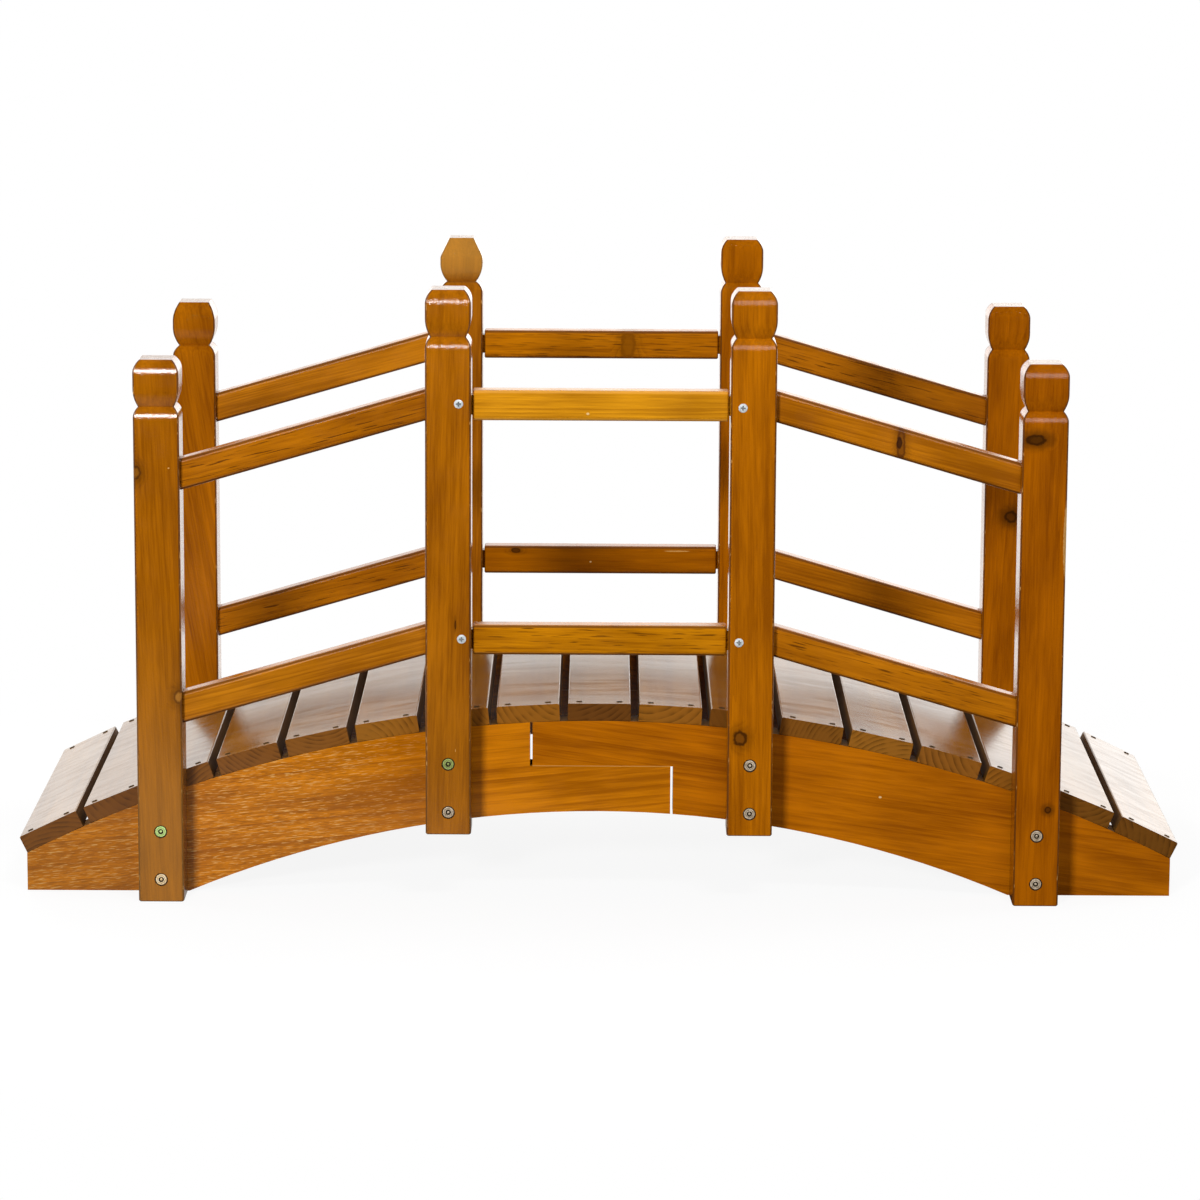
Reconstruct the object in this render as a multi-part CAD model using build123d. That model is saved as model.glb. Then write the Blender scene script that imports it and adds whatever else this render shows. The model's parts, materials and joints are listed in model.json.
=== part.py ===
"""Arched timber garden bridge: two lapped arch beams, a slatted deck and a railing on each side.

Frame: X runs along the walkway, Y across it and Z up. The origin is on the ground, under the
middle of the bridge. Lengths are millimetres and angles are degrees.
"""

import math
import os

from build123d import *

# Arch beams, one under each edge of the deck, each made of two halves
BEAM_LENGTH = 1524.0
BEAM_THICKNESS = 40.0
BEAM_CROWN_HEIGHT = 235.0
BEAM_END_HEIGHT = 51.0
BEAM_FOOT_LENGTH = 216.0
ARCH_RISE = 112.0

# Stepped lap where the two halves of a beam meet, the lower tongue on the left half
LAP_SPAN = 190.0
LAP_GAP = 3.3
LAP_SHIFT = 3.2
LAP_HEIGHT_SHARE = 0.5

# Deck slats, laid side by side along the arch, as many as fit with at least this gap
DECK_WIDTH = 530.0
SLAT_WIDTH = 83.3
SLAT_LEAST_GAP = 9.0
SLAT_THICKNESS = 23.0
SLAT_EASE = 2.0
SLAT_SEAT = 0.2

# Posts, all cut to one length and bolted to the outside of the beams
POST_SIZE = 60.0
POST_LENGTH = 722.0
POST_EASE = 4.0
POST_FOOT_EASE = 1.5
END_POST_SETBACK = 184.0
CROWN_POST_X = 198.5
CROWN_POST_DROP = 4.5

# Finial at the top of each post: a shoulder, a neck and a knob, shaped on all four faces. A knob's widths
# are at its flat top, at the brow, where a straight slope meets the rounding below it, and at its neck.
# The drops lead down from the top to the brow and to the crown, and the rise up from the neck to the belly.
KNOB_HEIGHT = 61.5
SHOULDER_HEIGHT = 15.5
FULL_KNOB = {
    "top": 42.0, "brow": 46.4, "neck": 46.5, "brow_drop": 2.0, "crown_drop": 19.0, "belly_rise": 27.0,
}
DEEP_KNOBS = {
    "back_left_end_post": {
        "top": 42.0, "brow": 51.0, "neck": 42.4, "brow_drop": 8.0, "crown_drop": 29.0, "belly_rise": 29.0,
    },
    "back_left_crown_post": {
        "top": 33.6, "brow": 56.2, "neck": 40.5, "brow_drop": 22.2, "crown_drop": 30.0, "belly_rise": 28.0,
    },
}

# Recesses in each post for the heads of the two bolts that hold it to its beam
BOLT_RECESS = 17.5
BOLT_RECESS_DEPTH = 3.0
LOW_BOLT_HEIGHT = 30.0
BOLT_SPACING = 65.0

# Rails between the posts, tenoned into them
RAIL_THICKNESS = 30.0
RAIL_HEIGHT = 40.0
RAIL_EASE = 5.5
RAIL_END_EASE = 1.5
TOP_RAIL_DROP = 152.0
LOW_RAIL_HEIGHT = 259.0
RAIL_FIT = 0.2
MIDDLE_RAIL_GAP = 2.5
TENON_HEIGHT = 26.0
TENON_THICKNESS = 16.0
TENON_DEPTH = 25.0
TENON_FIT = 0.3

SIDES = {"front": -1, "back": 1}
HALVES = {"left": -1, "right": 1}


def arc_radius(half_span, rise):
    """Radius of the circle that rises by rise over a chord of twice half_span."""
    return (half_span**2 + rise**2) / (2 * rise)


def arc_height(crown, radius, x):
    """Height at x of an arc that has its crown at x = 0."""
    return crown - radius + math.sqrt(radius**2 - x**2)


ARCH_SPAN = BEAM_LENGTH - 2 * BEAM_FOOT_LENGTH
DECK_RADIUS = arc_radius(BEAM_LENGTH / 2, BEAM_CROWN_HEIGHT - BEAM_END_HEIGHT)
ARCH_RADIUS = arc_radius(ARCH_SPAN / 2, ARCH_RISE)
END_POST_X = BEAM_LENGTH / 2 - END_POST_SETBACK
CROWN_POST_FOOT = arc_height(ARCH_RISE, ARCH_RADIUS, CROWN_POST_X) - CROWN_POST_DROP
POST_Y = DECK_WIDTH / 2 + POST_SIZE / 2
POST_PLACES = {"end": (END_POST_X, 0), "crown": (CROWN_POST_X, CROWN_POST_FOOT)}
RAIL_LEVELS = {"top": POST_LENGTH - TOP_RAIL_DROP, "low": LOW_RAIL_HEIGHT}


# Beams


def beam_outline():
    """Whole arch beam seen from the side: flat feet, an arched underside and an arched top."""
    end = BEAM_LENGTH / 2
    spring = ARCH_SPAN / 2
    underside = ThreePointArc((-spring, 0), (0, ARCH_RISE), (spring, 0))
    right_foot = Polyline((spring, 0), (end, 0), (end, BEAM_END_HEIGHT))
    top = ThreePointArc((end, BEAM_END_HEIGHT), (0, BEAM_CROWN_HEIGHT), (-end, BEAM_END_HEIGHT))
    left_foot = Polyline((-end, BEAM_END_HEIGHT), (-end, 0), (-spring, 0))
    return make_face([underside, right_foot, top, left_foot])


def beam_half_region(half):
    """Region that one half of a beam fills, out to its stepped end at the lap."""
    lap_height = ARCH_RISE + (BEAM_CROWN_HEIGHT - ARCH_RISE) * LAP_HEIGHT_SHARE
    tongue_end = half * (LAP_GAP - LAP_SPAN / 2) + LAP_SHIFT
    shoulder = half * LAP_SPAN / 2 + LAP_SHIFT
    above, below = (tongue_end, shoulder) if half > 0 else (shoulder, tongue_end)
    far = half * BEAM_LENGTH
    outline = Polyline(
        (far, -BEAM_CROWN_HEIGHT),
        (below, -BEAM_CROWN_HEIGHT),
        (below, lap_height),
        (above, lap_height),
        (above, BEAM_CROWN_HEIGHT + BEAM_LENGTH),
        (far, BEAM_CROWN_HEIGHT + BEAM_LENGTH),
        close=True,
    )
    return make_face(outline)


def beam_half(side, half):
    """One half of an arch beam, its outer face flush with the edge of the deck."""
    outer_y = side * DECK_WIDTH / 2
    middle_y = outer_y - side * BEAM_THICKNESS / 2
    face = beam_outline() & beam_half_region(half)
    return extrude(Plane.XZ.offset(-middle_y) * face, BEAM_THICKNESS / 2, both=True)


# Deck


def slat_angles():
    """Tilt of each slat. The end slats' lower edges are flush with the ends of the beams."""
    seat_radius = DECK_RADIUS + SLAT_SEAT
    reach = math.hypot(seat_radius, SLAT_WIDTH / 2)
    end_angle = math.asin(BEAM_LENGTH / 2 / reach) - math.atan(SLAT_WIDTH / 2 / seat_radius)
    arc_length = 2 * end_angle * seat_radius
    spaces = math.floor(arc_length / (SLAT_WIDTH + SLAT_LEAST_GAP))
    return [math.degrees(end_angle) * (2 * place / spaces - 1) for place in range(spaces + 1)]


def deck_slat(angle):
    """Flat slat with its upper long edges eased, lying on the arched top of both beams."""
    section = Rectangle(SLAT_WIDTH, SLAT_THICKNESS)
    section = fillet(section.vertices().group_by(Axis.Y)[-1], SLAT_EASE)
    slat = extrude(Plane.XZ * section, DECK_WIDTH / 2, both=True)
    arc_centre = Pos(0, 0, BEAM_CROWN_HEIGHT - DECK_RADIUS)
    return arc_centre * Rot(0, angle, 0) * Pos(0, 0, DECK_RADIUS + SLAT_SEAT + SLAT_THICKNESS / 2) * slat


# Posts


def post_profile(knob):
    """Outline of a post seen from one face, foot at the origin, with the finial at its top."""
    half = POST_SIZE / 2
    neck_z = POST_LENGTH - KNOB_HEIGHT
    shoulder_point = (half, neck_z - SHOULDER_HEIGHT)
    neck_point = (knob["neck"] / 2, neck_z)
    belly_low = (half, neck_z + knob["belly_rise"])
    belly_high = (half, POST_LENGTH - knob["crown_drop"])
    brow_point = (knob["brow"] / 2, POST_LENGTH - knob["brow_drop"])
    top_point = (knob["top"] / 2, POST_LENGTH)
    right = [
        Line((0, 0), (half, 0)),
        Line((half, 0), shoulder_point),
        TangentArc(shoulder_point, neck_point, tangent=(0, 1)),
        TangentArc(belly_low, neck_point, tangent=(0, -1)),
        Line(belly_low, belly_high),
        TangentArc(belly_high, brow_point, tangent=(0, 1)),
        Line(brow_point, top_point),
        Line(top_point, (0, POST_LENGTH)),
    ]
    left = [mirror(edge, about=Plane.YZ) for edge in right]
    return make_face(right + left)


def post_blank(knob):
    """Square post with eased corners, its finial cut by the same profile from both directions."""
    prism = extrude(RectangleRounded(POST_SIZE, POST_SIZE, POST_EASE), POST_LENGTH)
    across = extrude(Plane.XZ * post_profile(knob), POST_SIZE / 2, both=True)
    post = prism & across & (Rot(0, 0, 90) * across)
    foot_edges = post.faces().sort_by(Axis.Z)[0].edges()
    return chamfer(foot_edges, POST_FOOT_EASE)


def bolt_recesses(side, half, kind):
    """Two round recesses, one above the other on the centre line of a post's outer face."""
    x, foot = POST_PLACES[kind]
    outer_y = DECK_WIDTH / 2 + POST_SIZE
    recess = Rot(90, 0, 0) * Cylinder(BOLT_RECESS / 2, 2 * BOLT_RECESS_DEPTH)
    heights = (LOW_BOLT_HEIGHT, LOW_BOLT_HEIGHT + BOLT_SPACING)
    return [Pos(half * x, side * outer_y, foot + height) * recess for height in heights]


def end_post(side, half, knob):
    """Post at the foot of the arch, with mortises for the two sloping rails."""
    x, foot = POST_PLACES["end"]
    post = Pos(half * x, side * POST_Y, foot) * post_blank(knob)
    post -= bolt_recesses(side, half, "end")
    for level in RAIL_LEVELS:
        post -= sloping_tenon(side, half, level, TENON_FIT)
    return post


def crown_post(side, half, knob):
    """Post near the crown, with mortises for the sloping rails and the level ones."""
    x, foot = POST_PLACES["crown"]
    post = Pos(half * x, side * POST_Y, foot) * post_blank(knob)
    post -= bolt_recesses(side, half, "crown")
    for level in RAIL_LEVELS:
        post -= sloping_tenon(side, half, level, TENON_FIT)
        post -= middle_tenon(side, level, TENON_FIT)
    return post


# Rails


def bar_along_x(length, thickness, height, ease):
    """Straight bar with eased long edges, centred on the origin."""
    section = Plane.YZ * RectangleRounded(thickness, height, ease)
    return extrude(section, length / 2, both=True)


def sloping_frame(side, half, level):
    """Centre of a sloping rail, its axis tilted from the crown post down to the end post."""
    high_x = CROWN_POST_X + POST_SIZE / 2
    low_x = END_POST_X - POST_SIZE / 2
    slope = math.degrees(math.atan2(CROWN_POST_FOOT, low_x - high_x))
    middle_z = RAIL_LEVELS[level] + CROWN_POST_FOOT / 2
    return Pos(half * (high_x + low_x) / 2, side * POST_Y, middle_z) * Rot(0, half * slope, 0)


def upright_slab(half, low_x, high_x):
    """Block that trims a sloping piece between two upright planes, on the half asked for."""
    height = 2 * (CROWN_POST_FOOT + POST_LENGTH)
    width = 2 * (DECK_WIDTH + POST_SIZE)
    return Pos(half * (low_x + high_x) / 2, 0, 0) * Box(high_x - low_x, width, height)


def sloping_tenon(side, half, level, fit):
    """Tenons at both ends of a sloping rail, as one bar from inside one post to inside the other."""
    low_x = CROWN_POST_X + POST_SIZE / 2 - TENON_DEPTH - fit
    high_x = END_POST_X - POST_SIZE / 2 + TENON_DEPTH + fit
    bar = Box(2 * (high_x - low_x), TENON_THICKNESS + 2 * fit, TENON_HEIGHT + 2 * fit)
    return (sloping_frame(side, half, level) * bar) & upright_slab(half, low_x, high_x)


def sloping_rail(side, half, level):
    """Rail from a crown post down to an end post, its shoulders cut upright to fit the posts."""
    low_x = CROWN_POST_X + POST_SIZE / 2 + RAIL_FIT
    high_x = END_POST_X - POST_SIZE / 2 - RAIL_FIT
    bar = bar_along_x(2 * (high_x - low_x), RAIL_THICKNESS, RAIL_HEIGHT, RAIL_EASE)
    body = (sloping_frame(side, half, level) * bar) & upright_slab(half, low_x, high_x)
    return body + sloping_tenon(side, half, level, 0)


def middle_frame(side, level):
    """Centre of a level rail between the two crown posts."""
    return Pos(0, side * POST_Y, CROWN_POST_FOOT + RAIL_LEVELS[level])


def middle_tenon(side, level, fit):
    """Tenons at both ends of a level rail, as one bar from inside one post to inside the other."""
    reach = CROWN_POST_X - POST_SIZE / 2 + TENON_DEPTH + fit
    bar = Box(2 * reach, TENON_THICKNESS + 2 * fit, TENON_HEIGHT + 2 * fit)
    return middle_frame(side, level) * bar


def middle_rail(side, level):
    """Level rail between the crown posts, its eased ends standing a little off the posts."""
    length = 2 * (CROWN_POST_X - POST_SIZE / 2 - MIDDLE_RAIL_GAP)
    bar = bar_along_x(length, RAIL_THICKNESS, RAIL_HEIGHT, RAIL_EASE)
    end_faces = bar.faces().filter_by(Axis.X)
    bar = chamfer(end_faces.edges(), RAIL_END_EASE)
    return (middle_frame(side, level) * bar) + middle_tenon(side, level, 0)


# Assembly


def build_pieces():
    """Every piece of the bridge, by name."""
    pieces = {}
    for number, angle in enumerate(slat_angles(), start=1):
        pieces[f"deck_slat_{number:02d}"] = deck_slat(angle)
    for side_name, side in SIDES.items():
        for level in RAIL_LEVELS:
            pieces[f"{side_name}_middle_{level}_rail"] = middle_rail(side, level)
        for half_name, half in HALVES.items():
            place = f"{side_name}_{half_name}"
            pieces[f"{place}_beam"] = beam_half(side, half)
            for kind, make_post in (("end", end_post), ("crown", crown_post)):
                name = f"{place}_{kind}_post"
                pieces[name] = make_post(side, half, DEEP_KNOBS.get(name, FULL_KNOB))
            for level in RAIL_LEVELS:
                pieces[f"{place}_{level}_rail"] = sloping_rail(side, half, level)
    return pieces


os.makedirs("parts", exist_ok=True)
for piece_name, piece in build_pieces().items():
    export_step(piece, f"parts/{piece_name}.step")
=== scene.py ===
# %% [markdown]
# # An arched garden bridge in varnished fir
# This lesson dresses a small garden bridge. Its boards, posts and rails come ready from the frame, each
# at its real size and in its place. What is left for Blender is what the eye meets: stain and grain on
# every piece of wood, the varnish over them, and the bolts, screws and staples that hold the pieces
# together.

# %% The frame
import json
import math

import bmesh
import bpy
import numpy as np
from mathutils import Euler, Matrix, Vector

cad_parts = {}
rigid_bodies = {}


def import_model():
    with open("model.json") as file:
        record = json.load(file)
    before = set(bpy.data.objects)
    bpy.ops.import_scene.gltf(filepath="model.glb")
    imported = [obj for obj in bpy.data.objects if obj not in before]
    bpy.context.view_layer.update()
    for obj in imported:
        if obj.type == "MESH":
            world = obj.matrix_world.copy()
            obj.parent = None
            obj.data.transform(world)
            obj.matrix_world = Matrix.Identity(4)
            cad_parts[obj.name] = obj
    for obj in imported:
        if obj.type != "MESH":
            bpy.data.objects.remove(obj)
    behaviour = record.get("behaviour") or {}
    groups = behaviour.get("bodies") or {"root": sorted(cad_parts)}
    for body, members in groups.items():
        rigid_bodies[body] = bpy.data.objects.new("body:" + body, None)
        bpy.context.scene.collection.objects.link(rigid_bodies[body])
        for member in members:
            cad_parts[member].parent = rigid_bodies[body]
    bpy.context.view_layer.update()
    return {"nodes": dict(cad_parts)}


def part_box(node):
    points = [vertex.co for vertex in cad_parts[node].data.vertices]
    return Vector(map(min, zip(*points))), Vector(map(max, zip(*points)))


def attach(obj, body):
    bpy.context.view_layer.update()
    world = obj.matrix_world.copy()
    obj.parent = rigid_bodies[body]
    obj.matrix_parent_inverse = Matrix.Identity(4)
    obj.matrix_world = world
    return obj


MM = 0.001
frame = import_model()
nodes = frame["nodes"]

# %% [markdown]
# ## The camera
# The bridge is seen almost square-on, from a little above the rails and from far away, so that the back
# posts stand just inside the front ones. A long lens does that. The camera swings on a stick: it starts
# on the point that it looks at, turns, and then backs away along its own axis.

# %% Camera
LENS_MM = 143.66
SENSOR_MM = 36.0
LOOK_AT = Vector((0.0, 0.0, 0.3476))
DISTANCE = 6.590
LOOK_DOWN = math.radians(10.79)
LOOK_ASIDE = math.radians(0.02)
LEAN = math.radians(0.3)

camera = bpy.data.objects.new("camera", bpy.data.cameras.new("camera"))
camera.data.lens = LENS_MM
camera.data.sensor_width = SENSOR_MM
camera.data.sensor_fit = "HORIZONTAL"
swing = (Matrix.Rotation(LOOK_ASIDE, 4, "Z") @ Matrix.Rotation(math.pi / 2 - LOOK_DOWN, 4, "X")
         @ Matrix.Rotation(LEAN, 4, "Z"))
camera.matrix_world = Matrix.Translation(LOOK_AT) @ swing @ Matrix.Translation((0.0, 0.0, DISTANCE))
bpy.context.scene.collection.objects.link(camera)
bpy.context.scene.camera = camera
bpy.context.scene.view_settings.view_transform = "Standard"
print("camera stands at", [round(value, 3) for value in camera.matrix_world.translation])

# %% [markdown]
# ## Two helpers for shaders
# Colours are easiest to judge as sRGB hex codes, but a shader works in linear light, so one function
# turns the first into the second. A second function adds a node: its settings, the values of its sockets
# and the links into it all come in one call, so that a material reads as a list of what it is made of.

# %% Colour and node helpers
COLOUR_A, COLOUR_B, COLOUR_OUT = 6, 7, 2


def linear(code, share=1.0):
    """The linear RGBA of an sRGB hex code, times a share of its brightness."""
    srgb = np.array([int(code[at:at + 2], 16) for at in (1, 3, 5)]) / 255
    light = np.where(srgb > 0.04045, ((srgb + 0.055) / 1.055) ** 2.4, srgb / 12.92)
    return (*(light * share).tolist(), 1.0)


def add_node(tree, kind, sockets=None, **settings):
    """Adds a node. A socket's value is a number, or another node's output, which is then linked."""
    node = tree.nodes.new(kind)
    for field, value in settings.items():
        setattr(node, field, value)
    for key, value in (sockets or {}).items():
        if isinstance(value, bpy.types.NodeSocket):
            tree.links.new(value, node.inputs[key])
        else:
            node.inputs[key].default_value = value
    return node


def blank_tree(owner):
    """Empties the node tree of a material or a world and returns it."""
    owner.use_nodes = True
    owner.node_tree.nodes.clear()
    return owner.node_tree


print("stain brown is", [round(value, 3) for value in linear("#9e5d0b")])

# %% [markdown]
# ## A white studio
# The bridge stands on white paper before a lit white wall. What the lens and the varnish see is told
# apart with Light Path: to the lens all around is white, and to the varnish it is white behind, brightest
# on the right and near the floor, and dark on the side of the camera, as in a real studio. That is why
# the deck shines pale and the upright faces stay deep and warm.

# %% World
DOME_LEVEL = 0.12
DARK_SIDE_LEVEL = 0.01
DARK_SIDE_FROM, WHITE_SIDE_FROM = -0.1, 0.5
WALL_LEFT_LEVEL, WALL_RIGHT_LEVEL = 1.2, 1.75
WALL_TURN = 0.22
WALL_FOOT_FROM, WALL_FOOT_FULL, WALL_FOOT_SHARE = 0.15, 0.04, 1.4
PURE_WHITE, WALL_WHITE = "#ffffff", "#fffdfa"

world = bpy.data.worlds.new("studio")
bpy.context.scene.world = world
tree = blank_tree(world)
ray = add_node(tree, "ShaderNodeLightPath").outputs
toward = add_node(tree, "ShaderNodeTexCoord").outputs["Generated"]
toward = add_node(tree, "ShaderNodeSeparateXYZ", {0: toward}).outputs
behind = add_node(tree, "ShaderNodeMapRange", {
    "Value": toward["Y"], "From Min": DARK_SIDE_FROM, "From Max": WHITE_SIDE_FROM},
    interpolation_type="SMOOTHSTEP").outputs[0]
wall = add_node(tree, "ShaderNodeMapRange", {
    "Value": toward["X"], "From Min": -WALL_TURN, "From Max": WALL_TURN,
    "To Min": WALL_LEFT_LEVEL, "To Max": WALL_RIGHT_LEVEL}, interpolation_type="SMOOTHSTEP").outputs[0]
foot = add_node(tree, "ShaderNodeMapRange", {
    "Value": toward["Z"], "From Min": WALL_FOOT_FROM, "From Max": WALL_FOOT_FULL,
    "To Min": 1.0, "To Max": WALL_FOOT_SHARE}, interpolation_type="SMOOTHSTEP").outputs[0]
wall = add_node(tree, "ShaderNodeMath", {0: wall, 1: foot}, operation="MULTIPLY").outputs[0]
dome = add_node(tree, "ShaderNodeMix", {0: behind, 2: DOME_LEVEL, 3: 1.0}).outputs[0]
in_varnish = add_node(tree, "ShaderNodeMix", {0: behind, 2: DARK_SIDE_LEVEL, 3: wall}).outputs[0]
seen = add_node(tree, "ShaderNodeMath", {
    0: ray["Is Camera Ray"], 1: ray["Is Transmission Ray"]}, operation="MAXIMUM").outputs[0]
to_lens = add_node(tree, "ShaderNodeMix", {0: seen, 2: dome, 3: 1.0}).outputs[0]
level = add_node(tree, "ShaderNodeMix", {0: ray["Is Glossy Ray"], 2: to_lens, 3: in_varnish}).outputs[0]
colour = add_node(tree, "ShaderNodeMix", {
    0: ray["Is Glossy Ray"], COLOUR_A: linear(PURE_WHITE), COLOUR_B: linear(WALL_WHITE)},
    data_type="RGBA").outputs[COLOUR_OUT]
sky = add_node(tree, "ShaderNodeBackground", {"Color": colour, "Strength": level}).outputs[0]
add_node(tree, "ShaderNodeOutputWorld", {"Surface": sky})
print("dome level", DOME_LEVEL, "in front and 1 behind")

# %% Floor
FLOOR_SIDE, FLOOR_FRONT, FLOOR_BACK = 4.0, -1.5, 7.0
floor_mesh = bpy.data.meshes.new("floor")
floor_mesh.from_pydata([(-FLOOR_SIDE, FLOOR_FRONT, 0.0), (FLOOR_SIDE, FLOOR_FRONT, 0.0),
                        (FLOOR_SIDE, FLOOR_BACK, 0.0), (-FLOOR_SIDE, FLOOR_BACK, 0.0)], [], [(0, 1, 2, 3)])
floor = bpy.data.objects.new("floor", floor_mesh)
bpy.context.scene.collection.objects.link(floor)
print("floor", FLOOR_SIDE * 2, "m wide")

# %% [markdown]
# The paper is white to the lens, with a share of its real shading mixed in near the bridge, so that the
# shadow stays. In the varnish it is bright behind the bridge, dim in front on the left, where the low
# lamp grazes it, and dark in front on the right. What it throws up onto the wood is less than white paper
# would, so that the undersides stay deep. From below it is clear, so that the underside can be looked at.

# %% Studio paper
FLOOR_SHADOW_SHARE = 0.1
SHADOW_NEAR, SHADOW_FAR = 0.8, 1.45
LIT_PAPER_WAY = (-1.06, 1.0, 0.0)
LIT_PAPER_FROM, LIT_PAPER_TO, LIT_PAPER_LEVEL = -0.8, -0.35, 0.4
BACK_PAPER_FROM, BACK_PAPER_TO, BACK_PAPER_LEVEL = 0.3, 1.2, 1.2
LIT_PAPER, BOUNCE_PAPER = "#fafafa", "#5a5a5a"

paper = bpy.data.materials.new("white studio paper")
tree = blank_tree(paper)
ray = add_node(tree, "ShaderNodeLightPath").outputs
place = add_node(tree, "ShaderNodeTexCoord").outputs["Object"]
way = add_node(tree, "ShaderNodeVectorMath", {
    0: place, 1: LIT_PAPER_WAY}, operation="DOT_PRODUCT").outputs["Value"]
reach = add_node(tree, "ShaderNodeVectorMath", {0: place}, operation="LENGTH").outputs["Value"]
depth = add_node(tree, "ShaderNodeSeparateXYZ", {0: place}).outputs["Y"]
shadow = add_node(tree, "ShaderNodeMapRange", {
    "Value": reach, "From Min": SHADOW_FAR, "From Max": SHADOW_NEAR, "To Max": FLOOR_SHADOW_SHARE},
    interpolation_type="SMOOTHSTEP").outputs[0]
fade = add_node(tree, "ShaderNodeMapRange", {
    "Value": way, "From Min": LIT_PAPER_FROM, "From Max": LIT_PAPER_TO,
    "To Min": DARK_SIDE_LEVEL, "To Max": LIT_PAPER_LEVEL}, interpolation_type="SMOOTHSTEP").outputs[0]
behind = add_node(tree, "ShaderNodeMapRange", {
    "Value": depth, "From Min": BACK_PAPER_FROM, "From Max": BACK_PAPER_TO,
    "To Min": fade, "To Max": BACK_PAPER_LEVEL}, interpolation_type="SMOOTHSTEP").outputs[0]
lit = add_node(tree, "ShaderNodeBsdfDiffuse", {"Color": linear(LIT_PAPER)}).outputs[0]
bounce = add_node(tree, "ShaderNodeBsdfDiffuse", {"Color": linear(BOUNCE_PAPER)}).outputs[0]
white = add_node(tree, "ShaderNodeEmission", {"Color": linear(PURE_WHITE)}).outputs[0]
mirrored = add_node(tree, "ShaderNodeEmission", {"Color": linear(WALL_WHITE), "Strength": behind}).outputs[0]
clear = add_node(tree, "ShaderNodeBsdfTransparent").outputs[0]
under = add_node(tree, "ShaderNodeNewGeometry").outputs["Backfacing"]
seen = add_node(tree, "ShaderNodeMath", {
    0: ray["Is Camera Ray"], 1: ray["Is Transmission Ray"]}, operation="MAXIMUM").outputs[0]
to_lens = add_node(tree, "ShaderNodeMixShader", {0: shadow, 1: white, 2: lit}).outputs[0]
look = add_node(tree, "ShaderNodeMixShader", {0: seen, 1: bounce, 2: to_lens}).outputs[0]
look = add_node(tree, "ShaderNodeMixShader", {0: ray["Is Glossy Ray"], 1: look, 2: mirrored}).outputs[0]
look = add_node(tree, "ShaderNodeMixShader", {0: under, 1: look, 2: clear}).outputs[0]
add_node(tree, "ShaderNodeOutputMaterial", {"Surface": look})
floor_mesh.materials.append(paper)
print("paper keeps", FLOOR_SHADOW_SHARE, "of its shading")

# %% [markdown]
# The main light is a softbox low on the left, which throws the posts' shadows to the right. One above on
# the right and a weak one beside it open the shadows a little, and one behind and one past each end keep
# the other sides in good light. A varnished face turns every lamp into haze, so these light the colour
# alone. Three tall panels do the opposite: they only draw the bands round the knobs and along the rails,
# brightest on the left. In a studio black cards would keep each where it belongs. Light linking does that
# here: a panel reaches only the pieces in its collection.

# %% Softboxes
SOFTBOXES = {
    "low left softbox": {
        "place": (-1.5, -5.0, 2.1), "aim": (-0.1, 0.0, 0.45), "size": (0.8, 0.6), "watts": 208.0},
    "high right softbox": {
        "place": (0.95, -2.8, 3.9), "aim": (0.2, 0.0, 0.5), "size": (1.4, 0.5), "watts": 62.0},
    "wide right softbox": {
        "place": (2.4, -5.0, 2.2), "aim": (0.2, 0.0, 0.35), "size": (2.0, 2.0), "watts": 18.0},
    "back softbox": {
        "place": (-2.0, 4.6, 2.0), "aim": (0.0, 0.0, 0.35), "size": (2.0, 2.0), "watts": 90.0},
    "left end softbox": {
        "place": (-4.8, 1.4, 1.6), "aim": (0.0, 0.0, 0.35), "size": (1.6, 1.6), "watts": 60.0},
    "right end softbox": {
        "place": (4.8, 1.4, 1.6), "aim": (0.0, 0.0, 0.35), "size": (1.6, 1.6), "watts": 90.0},
    "left panel": {
        "place": (-1.2, -5.0, 2.1), "aim": (-0.55, -0.3, 0.65), "size": (1.1, 1.5), "watts": 230.0},
    "rail panel": {
        "place": (-1.2, -5.0, 2.1), "aim": (-0.4, 0.0, 0.6), "size": (1.1, 1.7), "watts": 26.0},
    "right panel": {
        "place": (0.75, -5.0, 2.3), "aim": (0.4, -0.3, 0.7), "size": (1.2, 2.0), "watts": 30.0},
}
GLINTS_ON = {
    "left panel": ("front_left_end_post", "front_left_crown_post"),
    "rail panel": ("front_left_top_rail", "front_left_low_rail", "back_left_top_rail", "back_left_low_rail"),
    "right panel": ("front_right_end_post", "front_right_crown_post", "front_right_top_rail"),
}
for name, box in SOFTBOXES.items():
    lamp = bpy.data.lights.new(name, "AREA")
    lamp.shape = "RECTANGLE"
    lamp.size, lamp.size_y = box["size"]
    lamp.energy = box["watts"]
    holder = bpy.data.objects.new(name, lamp)
    holder.location = box["place"]
    holder.rotation_euler = (Vector(box["aim"]) - holder.location).to_track_quat("-Z", "Y").to_euler()
    holder.visible_camera = False
    holder.visible_glossy = name in GLINTS_ON
    holder.visible_diffuse = name not in GLINTS_ON
    bpy.context.scene.collection.objects.link(holder)
    if name in GLINTS_ON:
        reached = bpy.data.collections.new("reached by the " + name)
        for node in GLINTS_ON[name]:
            reached.objects.link(nodes[node])
        holder.light_linking.receiver_collection = reached
    print(name, box["watts"], "W")

# %% [markdown]
# ## Stained fir under varnish
# Fir grows in rings, and a board is a slice through them. So the grain here isn't painted on faces: it is
# a solid of nested rings round a pith line, and each piece is placed somewhere in it. A face along the
# grain then shows streaks, a sawn end shows arcs, and they meet at the edge. A Mapping node moves the
# pattern's origin to the pith and turns its Z axis along the grain.
#
# The ring pattern is the Wave texture. In real wood no two rings are alike, so a noise bends the space
# that the wave lives in, until the rings crowd and spread, and a second noise lets them fade in and out.

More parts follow.
